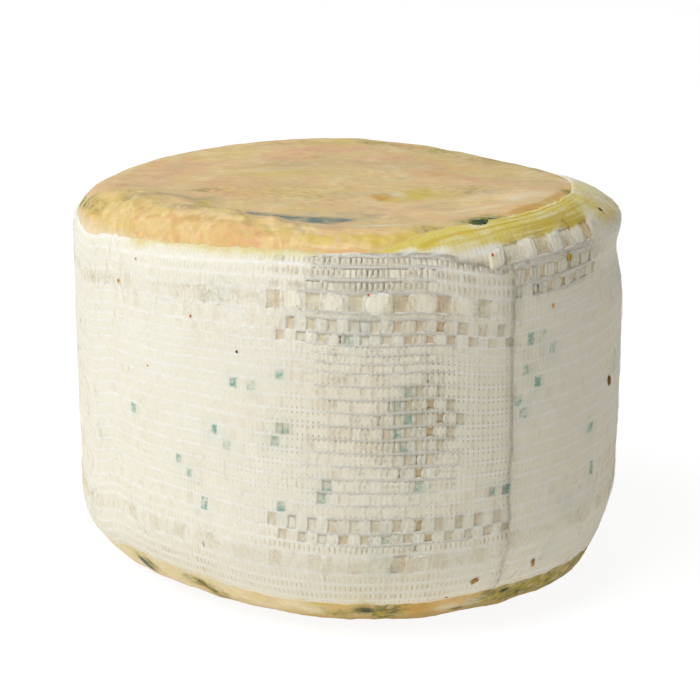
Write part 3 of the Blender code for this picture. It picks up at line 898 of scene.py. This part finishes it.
def make_stitches(finish):
    """The upright loops between the slots: small spindles, fat in the middle."""
    places = []
    for row, (low, high) in enumerate(zip(LINES[:-1], LINES[1:])):
        for wale in range(1, WALES):
            left, right = CELLS[row, wale - 1], CELLS[row, wale]
            in_opening = left[0] is not None and left[0] == right[0]
            if ROWS[row].kind != "tuft" and not in_opening and {left[1], right[1]} != {"plain"}:
                half = LADDER_HALF if ROWS[row].kind == "ladder" else STITCH_HALF
                places.append((wale * WALE, (low + high) / 2, (high - low) / 2, half))
    spindle = bmesh.new()
    bmesh.ops.create_uvsphere(spindle, u_segments=5, v_segments=4, radius=1.0)
    many, shape, number = spread_out(spindle, len(places))
    middle = np.array(places)[number]
    draw = np.random.default_rng(11)
    lean = draw.uniform(-STITCH_LEAN, STITCH_LEAN, len(places))[number]
    fat = draw.uniform(0.85, 1.12, len(places))[number]
    along = middle[:, 0] + shape[:, 0] * middle[:, 3] * fat + lean * shape[:, 2]
    across = middle[:, 1] + shape[:, 2] * (middle[:, 2] - 0.05 * MM)
    lift = STITCH_LIFT - shape[:, 1] * STITCH_DEPTH * fat
    return make_yarn("lace_stitches", many, finish, along, across, lift)


def tuft_places(kind):
    """Middles and half sizes of the bunches between the openings of one kind of row."""
    places = []
    for row, (low, high) in enumerate(zip(LINES[:-1], LINES[1:])):
        if ROWS[row].kind != kind:
            continue
        closed = [opening(row, wale) is None for wale in range(WALES)]
        ends = [wale for wale in range(1, WALES) if closed[wale] != closed[wale - 1]]
        for first, last in zip(ends[:-1], ends[1:]):
            if closed[first] and not hidden(row, first):
                half = (last - first) * WALE / 2
                places.append((first * WALE + half, (low + high) / 2, half, (high - low) / 2))
    return np.array(places)


def make_tufts(name, places, detail, swell_out, finish):
    """Fluffy bunches of thread, each a ball that noise has pulled out of shape."""
    ball = bmesh.new()
    bmesh.ops.create_icosphere(ball, subdivisions=detail, radius=1.0)
    many, shape, number = spread_out(ball, len(places))
    middle = places[number]
    apart = np.stack([3.7 * number, 5.1 * number, 0 * number], axis=-1)
    lumpy = ripple(shape + apart, 0.62, 15)
    stranded = ripple(shape * np.array([5.0, 5.0, 1.2]) + apart, 1.0, 16)
    draw = np.random.default_rng(31)
    grown = draw.uniform(0.86, 1.12, (len(places), 3))[number]
    shape = np.sign(shape) * np.abs(shape) ** TUFT_POWER
    shape = shape * grown * (1 + TUFT_LUMPS * lumpy + TUFT_STRANDS * stranded)[:, None]
    waist = 1 - TUFT_WAIST * (1 - np.minimum(shape[:, 2] ** 2, 1))
    along = middle[:, 0] + shape[:, 0] * middle[:, 2] * TUFT_WIDE * waist
    across = middle[:, 1] + shape[:, 2] * middle[:, 3] * TUFT_HIGH
    felt = matting(along, across)
    proud = swell_out * (1 - smooth(*TUFT_FELT, felt))
    lift = np.maximum(TUFT_LIFT + FELT_RISE * felt - shape[:, 1] * proud, NET_LIFT)
    return make_yarn(name, many, finish, along, across, lift)


def make_fibres(finish):
    """Loose cotton hairs: over the whole knit, thick at the tufts, and frayed at the cut end."""
    rod = bmesh.new()
    bmesh.ops.create_cone(rod, segments=3, radius1=1.0, radius2=1.0, depth=1.0, cap_ends=True)
    lengthwise = [edge for edge in rod.edges if abs(edge.verts[0].co.z - edge.verts[1].co.z) > 0.5]
    bmesh.ops.subdivide_edges(rod, edges=lengthwise, cuts=5)
    count = HAIRS + FRAYS
    many, shape, number = spread_out(rod, count)
    draw = np.random.default_rng(23)
    fray = np.arange(count) >= HAIRS
    along = draw.uniform(0.085, 1, count) * BAND_LENGTH
    across = draw.uniform(0.01, 0.99, count) * BAND_WIDTH
    tufted = [row for row, entry in enumerate(ROWS) if entry.kind == "tuft"]
    row = np.array(tufted)[draw.integers(0, len(tufted), count)]
    at_tuft = draw.uniform(0, 1, count) < TUFT_HAIRS
    beside = MIDDLES[row] + draw.uniform(-1.6, 1.6, count) * MM
    across = np.where(at_tuft & ~fray, beside, across)
    along = np.where(fray, BAND_LENGTH - draw.uniform(-0.6, 1.2, count) * MM, along)
    heading = np.where(fray, draw.normal(0, 0.5, count), draw.uniform(0, math.pi, count))
    length = np.where(fray, draw.uniform(*FRAY_LENGTHS, count), draw.uniform(*HAIR_LENGTHS, count)) * MM
    bend, arch = draw.uniform(-HAIR_BEND, HAIR_BEND, count) * MM, draw.uniform(*HAIR_ARCH, count) * MM
    thick = draw.uniform(*HAIR_THICK, count) * MM
    share = shape[:, 2]
    bow = (0.25 - share ** 2) * 4
    ahead = share * length[number]
    aside = bend[number] * bow + HAIR_CURL * MM * np.sin(9 * share + number)
    cosine, sine = np.cos(heading)[number], np.sin(heading)[number]
    along = along[number] + ahead * cosine - aside * sine + shape[:, 0] * thick[number]
    across = across[number] + ahead * sine + aside * cosine
    across = np.clip(across, 0.2 * MM, BAND_WIDTH - 0.2 * MM)
    lift = HAIR_LIFT + arch[number] * bow - shape[:, 1] * thick[number]
    return make_yarn("lace_fibres", many, finish, along, across, lift)


def make_specks(finish):
    """Crumbs and dark specks that are caught in the lace and lie on the rind."""
    ball = bmesh.new()
    bmesh.ops.create_icosphere(ball, subdivisions=2, radius=1.0)
    many, shape, number = spread_out(ball, len(SPECKS))
    azimuths, climbs, radii, colours = zip(*SPECKS)
    apart = np.stack([3.1 * number, 0 * number, 0 * number], axis=-1)
    shape = shape * (1 + 0.5 * ripple(shape + apart, 0.8, 17))[:, None]
    radius = np.array(radii)[number] * MM
    azimuth = np.radians(azimuths)[number] + shape[:, 0] * radius / RADIUS
    climb = np.array(climbs)[number] * MM + shape[:, 2] * radius * 1.25
    covered = plateau((19, 22, 88, 90), climb / MM)
    twice = (azimuth > LACE_START) & (azimuth < LACE_START + LACE_TURN - math.tau)
    ground = covered * (SPECK_LIFT + np.where(twice, SECOND_LAYER, 0))
    places = skin(azimuth, stage_at(azimuth, climb), ground - shape[:, 1] * radius * 0.45)
    tints = np.array([(*linear(colour), 1.0) for colour in colours])[number]
    return make_piece("lace_specks", many, finish, places, {"tint": tints})


def linear(colour):
    """The linear values of a colour given as six sRGB hex digits."""
    parts = [int(colour[index:index + 2], 16) / 255 for index in (0, 2, 4)]
    return tuple(part / 12.92 if part <= 0.04045 else ((part + 0.055) / 1.055) ** 2.4 for part in parts)


def add(tree, kind, inputs=(), **settings):
    """Adds a node with its settings, its values and the links into it."""
    node = tree.nodes.new("ShaderNode" + kind)
    for name, value in settings.items():
        setattr(node, name, value)
    for socket, value in dict(inputs).items():
        if isinstance(value, bpy.types.NodeSocket):
            tree.links.new(value, node.inputs[socket])
        else:
            node.inputs[socket].default_value = value
    return node


def new_finish(name):
    """An empty material, its tree and the shader that its surface ends in."""
    finish = bpy.data.materials.new(name)
    finish.use_nodes = True
    tree = finish.node_tree
    return finish, tree, tree.nodes["Principled BSDF"]


def reckon(tree, operation, *values):
    """The result of a sum on numbers."""
    return add(tree, "Math", enumerate(values), operation=operation).outputs[0]


def product(tree, *parts):
    """All the masks multiplied together."""
    whole = parts[0]
    for part in parts[1:]:
        whole = reckon(tree, "MULTIPLY", whole, part)
    return whole


def ranged(tree, value, low=0.0, high=1.0, least=0.0, most=1.0, **settings):
    """A value carried from the range low to high over to least to most, and kept in it."""
    limits = {"Value": value, "From Min": low, "From Max": high, "To Min": least, "To Max": most}
    return add(tree, "MapRange", limits, **settings).outputs[0]


def humps(tree, size, detail=3.0, distortion=0.0, place=None):
    """Noise from 0 to 1 with humps of about the size given, fixed to the piece."""
    place = place or add(tree, "TexCoord").outputs["Object"]
    settings = {"Vector": place, "Scale": 0.5 / size, "Detail": detail, "Distortion": distortion}
    return add(tree, "TexNoise", settings).outputs["Fac"]


def patches(tree, size, low, high, most, detail=3.0, distortion=0.6, least=0.0):
    """A mask of soft patches: least where the noise is under low, and most above high."""
    return ranged(tree, humps(tree, size, detail, distortion), low, high, least, most)


def plain(tree, colour):
    """One colour all over."""
    base = add(tree, "RGB").outputs[0]
    base.default_value = (*linear(colour), 1.0)
    return base


def lay_over(tree, under, layers):
    """Lays colours over a colour, each where its mask says."""
    for mask, colour in layers:
        over = (*linear(colour), 1.0)
        under = add(tree, "Mix", {0: mask, 6: under, 7: over}, data_type="RGBA").outputs[2]
    return under


def shaded(tree, colour, *shade):
    """A colour made darker and lighter by a noise, which ranged carries over."""
    inputs = {0: 1.0, 6: colour, 7: ranged(tree, *shade)}
    return add(tree, "Mix", inputs, data_type="RGBA", blend_type="MULTIPLY").outputs[2]


def bumped(tree, shader, bumps):
    """Gives a shader bumps laid over one another: strength, depth and height of each."""
    under = {}
    for strength, depth, height in bumps:
        inputs = {"Strength": strength, "Distance": depth, "Height": height, **under}
        under = {"Normal": add(tree, "Bump", inputs).outputs[0]}
    tree.links.new(under["Normal"], shader.inputs["Normal"])


def torn(tree, mask, ragged, tear=0.9, worn=0.65):
    """A mask whose edge a noise has made ragged, and thin where the noise is low."""
    moved = reckon(tree, "ADD", mask, reckon(tree, "MULTIPLY_ADD", ragged, tear, -0.5 * tear))
    share = ranged(tree, moved, 0.05, 0.8, interpolation_type="SMOOTHSTEP")
    return product(tree, share, ranged(tree, mask, 0.0, 0.7), ranged(tree, ragged, 0.36, 0.56, worn))


def read_channels(tree, name):
    """The four channels of a colour layer of the mesh."""
    layer = add(tree, "Attribute", attribute_name=name)
    split = add(tree, "SeparateColor", {"Color": layer.outputs["Color"]})
    return [*split.outputs, layer.outputs["Alpha"]]


def vein(tree, size, mask):
    """Thin wandering lines where a noise passes through its middle, within a mask."""
    centred = reckon(tree, "MULTIPLY_ADD", humps(tree, size, 3.0, 1.4), 2.0, -1.0)
    distance = reckon(tree, "ABSOLUTE", centred)
    return product(tree, ranged(tree, distance, 0.0, 0.18, 0.5, 0.0), mask)


def washed_rind():
    """Natural cheese rind, washed and smeared by hand as it ripened.

    It looks like damp wax paper: beige to peach in soft clouds, stained yellow and
    orange where the lace pressed, with a low gloss on the ridges.
    """
    finish, tree, shader = new_finish("washed cheese rind")
    mottle, grain = humps(tree, MOTTLE, 4.0, 1.2), humps(tree, GRAIN, 3.0)
    ragged = humps(tree, TEAR, 6.0, 0.8)
    channels = [channel for name in STAIN_LAYERS for channel in read_channels(tree, name)]
    colour = lay_over(tree, plain(tree, RIND_BEIGE), [
        (patches(tree, CLOUD, 0.4, 0.62, 0.9), RIND_PEACH),
        (patches(tree, ROSE_PATCH, 0.5, 0.68, 0.6), RIND_ROSE),
        (patches(tree, STRAW_PATCH, 0.52, 0.7, 0.6), RIND_STRAW),
        (patches(tree, DRAB_PATCH, 0.54, 0.7, 0.5), RIND_DRAB),
        (patches(tree, MOTTLE, 0.5, 0.75, 0.55, 4.0, 1.2), RIND_CREAM),
        *[(torn(tree, channel, ragged), STAINS[tint]) for channel, tint in zip(channels, CHANNELS)],
    ])
    wrinkled = channels[len(CHANNELS)]
    olive = channels[CHANNELS.index("olive")]
    grains = ((0.48, 0.6, 0.75, "green"), (0.5, 0.62, 0.7, "gold"), (0.52, 0.64, 0.6, "bloom"))
    for number, (low, high, most, tint) in enumerate(grains):
        fleck = patches(tree, (0.7 + 0.3 * number) * MM, low, high, most, 3.0, 0.8)
        colour = lay_over(tree, colour, [(product(tree, fleck, olive), STAINS[tint])])
    colour = lay_over(tree, colour, [
        (product(tree, wrinkled, 0.4), RIND_FOLD),
        (vein(tree, RIDGE_SIZE, wrinkled), RIND_RIDGE), (vein(tree, VEIN_SIZE, wrinkled), RIND_VEIN),
    ])
    colour = shaded(tree, colour, grain, 0.3, 0.7, 0.93, 1.05)
    tree.links.new(colour, shader.inputs["Base Color"])
    tree.links.new(ranged(tree, mottle, 0.3, 0.7, 0.5, 0.72), shader.inputs["Roughness"])
    shader.inputs["Subsurface Weight"].default_value = 0.18
    shader.inputs["Subsurface Radius"].default_value = (1.0, 0.55, 0.3)
    shader.inputs["Subsurface Scale"].default_value = 2.0 * MM
    bumped(tree, shader, [(0.35, 0.25 * MM, grain), (0.4, 0.6 * MM, mottle)])
    return finish


def marks(tree, cells, above, scale):
    """A soft mark above and below the middle of each cell, for a place counted in cells."""
    def vector(operation, *values):
        return add(tree, "VectorMath", enumerate(values), operation=operation).outputs

    offset = vector("SUBTRACT", vector("FRACTION", cells)[0], (0.5, 0.5, 0))[0]
    hole = vector("SUBTRACT", vector("ABSOLUTE", offset)[0], (0, above, 0))[0]
    reach = vector("LENGTH", vector("MULTIPLY", hole, (*scale, 0))[0])["Value"]
    return ranged(tree, reach, 0.4, 1.3, 1.0, 0.0)


def knitted_cotton():
    """Undyed cotton yarn, warp-knitted and felted over by white mould.

    It gives a soft matt white with a faint halo of fuzz, and the mould and the rind
    have stained it in places. Small holes and slits are painted dark with their ground and
    painted shade, and lighter dashes on the cords are a painted highlight.
    """
    finish, tree, shader = new_finish("knitted cotton lace")
    layer = add(tree, "Attribute", attribute_name="cells")
    cells, slit = layer.outputs["Vector"], layer.outputs["Alpha"]
    wale, _, dotted = add(tree, "SeparateXYZ", {0: cells}).outputs
    fuzz, ragged = humps(tree, FUZZ, 2.0), humps(tree, TEAR, 4.0)
    yellow, teal, ground, felt = read_channels(tree, "tint")
    streaks = add(tree, "Mapping", {"Vector": cells, "Scale": (0.03, 2.4, 1)}).outputs[0]
    streaks = ranged(tree, humps(tree, 0.5, 1.0, 0.0, streaks), 0.48, 0.62)
    olive = product(tree, streaks, ranged(tree, yellow, 0.6, 0.9, 0.0, 0.8))
    loose = ranged(tree, felt, 0.3, 0.9, 1.0, 0.12)
    varied = ranged(tree, humps(tree, 0.9, 1.0, 0.0, cells), 0.38, 0.6, 0.25)
    worn = patches(tree, HOLE_PATCH, 0.4, 0.62, 0.75)
    # Painted shade: small holes and slits are coloured dark with their ground and the shade in them, mostly
    # where the mesh stays shut
    holes = product(tree, marks(tree, cells, 0.33, (5, 8)), worn, loose, dotted)
    slit_ground_and_shade = product(tree, marks(tree, cells, 0, (5.5, 2.6)), varied, loose, slit)
    # Painted highlight: lighter dashes on the lines between rows stand for the lit tops of the cords, which
    # lie low in the felt
    cord_highlight = product(tree, marks(tree, cells, 0.5, (2.2, 6)), varied)
    windows = product(tree, ground, patches(tree, WINDOW_PATCH, 0.36, 0.6, 0.85, least=0.2))
    rosy = product(tree, windows, patches(tree, YARN_CLOUD, 0.4, 0.6, 1.0))
    mossy = product(tree, windows, patches(tree, HOLE_PATCH, 0.5, 0.62, 0.85))
    halo = ranged(tree, teal, 0.0, 0.3, 0.0, 0.4)
    mould = product(
        tree, ranged(tree, teal, 0.3, 0.9),
        patches(tree, MOULD_GRAIN, 0.38, 0.6, 1.0, least=0.45),
        patches(tree, WINDOW_PATCH, 0.34, 0.52, 1.0, least=0.55),
    )
    colour = lay_over(tree, plain(tree, COTTON), [
        (patches(tree, YARN_CLOUD, 0.45, 0.75, 0.75), COTTON_WARM),
        (patches(tree, GREEN_CLOUD, 0.5, 0.7, 0.5), COTTON_GREEN),
        (product(tree, felt, 0.5), FELT), (cord_highlight, CORD_HIGHLIGHT), (holes, HOLE_GROUND_AND_SHADE), (slit_ground_and_shade, HOLE_GROUND_AND_SHADE),
        (windows, LACE_SAND), (rosy, LACE_PINK), (mossy, LACE_MOSS),
        (torn(tree, yellow, ragged, 0.6), LACE_YELLOW), (olive, LACE_OLIVE), (halo, LACE_HALO),
        (torn(tree, mould, humps(tree, GRAIN, 3.0), 0.8, 0.45), LACE_TEAL),
    ])
    colour = shaded(tree, colour, fuzz, 0.3, 0.7, 0.95, 1.03)
    tree.links.new(colour, shader.inputs["Base Color"])
    shader.inputs["Roughness"].default_value = 0.92
    shader.inputs["Sheen Weight"].default_value = 0.05
    shader.inputs["Sheen Roughness"].default_value = 0.5
    shader.inputs["Specular IOR Level"].default_value = 0.25
    shader.inputs["Subsurface Weight"].default_value = 0.6
    shader.inputs["Subsurface Radius"].default_value = (1.0, 0.98, 0.94)
    shader.inputs["Subsurface Scale"].default_value = 1.4 * MM
    ribs = reckon(tree, "COSINE", reckon(tree, "MULTIPLY", wale, math.tau))
    bumped(tree, shader, [(0.3, 0.04 * MM, ribs), (0.5, 0.05 * MM, cord_highlight), (0.5, 0.15 * MM, fuzz)])
    return finish


def dried_crumb():
    """Dried bits of rind and paste: dull, grainy and brown to red."""
    finish, tree, shader = new_finish("dried rind crumbs")
    layer = add(tree, "Attribute", attribute_name="tint").outputs["Color"]
    colour = shaded(tree, layer, humps(tree, CRUMB_GRAIN, 2.0), 0.0, 1.0, 0.75, 1.2)
    tree.links.new(colour, shader.inputs["Base Color"])
    shader.inputs["Roughness"].default_value = 0.75
    return finish


def seamless_paper():
    """White studio paper, lit almost to pure white, with a light shade under the wheel."""
    finish, tree, shader = new_finish("seamless studio paper")
    tree.nodes.remove(shader)
    seen = add(tree, "LightPath").outputs["Is Camera Ray"]
    papers = []
    for share, glow, tone in ((FLOOR_ALBEDO, FLOOR_FILL, ROOM_COLOUR), (SHADOW_SHARE, FLOOR_GLOW, (1, 1, 1))):
        paper = add(tree, "BsdfDiffuse", {"Color": (*(share * part for part in tone), 1.0)}).outputs[0]
        lit = add(tree, "Emission", {"Color": (*tone, 1), "Strength": glow}).outputs[0]
        papers.append(add(tree, "AddShader", {0: paper, 1: lit}).outputs[0])
    mixed = add(tree, "MixShader", {0: seen, 1: papers[0], 2: papers[1]}).outputs[0]
    tree.links.new(mixed, tree.nodes["Material Output"].inputs["Surface"])
    return finish


def make_floor():
    sheet = bmesh.new()
    bmesh.ops.create_grid(sheet, x_segments=1, y_segments=1, size=FLOOR_REACH)
    bmesh.ops.translate(sheet, vec=(0, 0, -FLOOR_GAP), verts=sheet.verts)
    mesh = bpy.data.meshes.new("floor")
    sheet.to_mesh(mesh)
    sheet.free()
    mesh.materials.append(seamless_paper())
    floor = bpy.data.objects.new("floor", mesh)
    bpy.context.scene.collection.objects.link(floor)


def add_light(name, azimuth, height, distance, size, power, colour):
    """A square soft light that looks at the wheel from an azimuth and height in degrees."""
    lamp = bpy.data.lights.new(name, "AREA")
    lamp.shape = "SQUARE"
    lamp.size = size
    lamp.energy = power
    lamp.color = linear(colour)
    turn, lean = math.radians(azimuth), math.radians(height)
    away_from = Vector((math.cos(turn) * math.cos(lean), math.sin(turn) * math.cos(lean), math.sin(lean)))
    place = bpy.data.objects.new(name, lamp)
    place.location = Vector((0, 0, HEIGHT / 2)) + away_from * distance
    place.rotation_euler = away_from.to_track_quat("Z", "Y").to_euler()
    bpy.context.scene.collection.objects.link(place)


def light_room():
    """Even white light from all round, which the camera sees as plain white."""
    world = bpy.data.worlds.new("studio")
    world.use_nodes = True
    tree = world.node_tree
    sky = tree.nodes["Background"]
    seen = add(tree, "LightPath").outputs["Is Camera Ray"]
    strength = ranged(tree, seen, least=ROOM_LIGHT)
    colour = add(tree, "Mix", {0: seen, 6: (*ROOM_COLOUR, 1), 7: (1, 1, 1, 1)}, data_type="RGBA").outputs[2]
    tree.links.new(colour, sky.inputs["Color"])
    tree.links.new(strength, sky.inputs["Strength"])
    bpy.context.scene.world = world


def set_camera():
    eye = bpy.data.cameras.new("camera")
    eye.lens = CAMERA_LENS
    eye.sensor_width = CAMERA_SENSOR
    camera = bpy.data.objects.new("camera", eye)
    camera.location = CAMERA_PLACE
    camera.rotation_euler = (math.radians(90 - CAMERA_TILT), 0, 0)
    bpy.context.scene.collection.objects.link(camera)
    bpy.context.scene.camera = camera
    bpy.context.scene.view_settings.view_transform = "Standard"


set_camera()
light_room()
add_light("key", KEY_AZIMUTH, KEY_HEIGHT, KEY_DISTANCE, KEY_SIZE, KEY_POWER, KEY_COLOUR)
make_floor()

cotton = knitted_cotton()
rind = make_rind(washed_rind())
net = make_net(cotton)
half = (len(LINES) + 1) // 2
yarn = [
    make_cords("lace_cords_lower", range(1, half), cotton),
    make_cords("lace_cords_upper", range(half, len(LINES) - 1), cotton),
    make_stitches(cotton),
    make_tufts("lace_tufts", tuft_places("tuft"), 4, 0.33 * MM, cotton),
    make_tufts("lace_pillars", tuft_places("net"), 3, 0.13 * MM, cotton),
    make_fibres(cotton),
]
make_specks(dried_crumb())
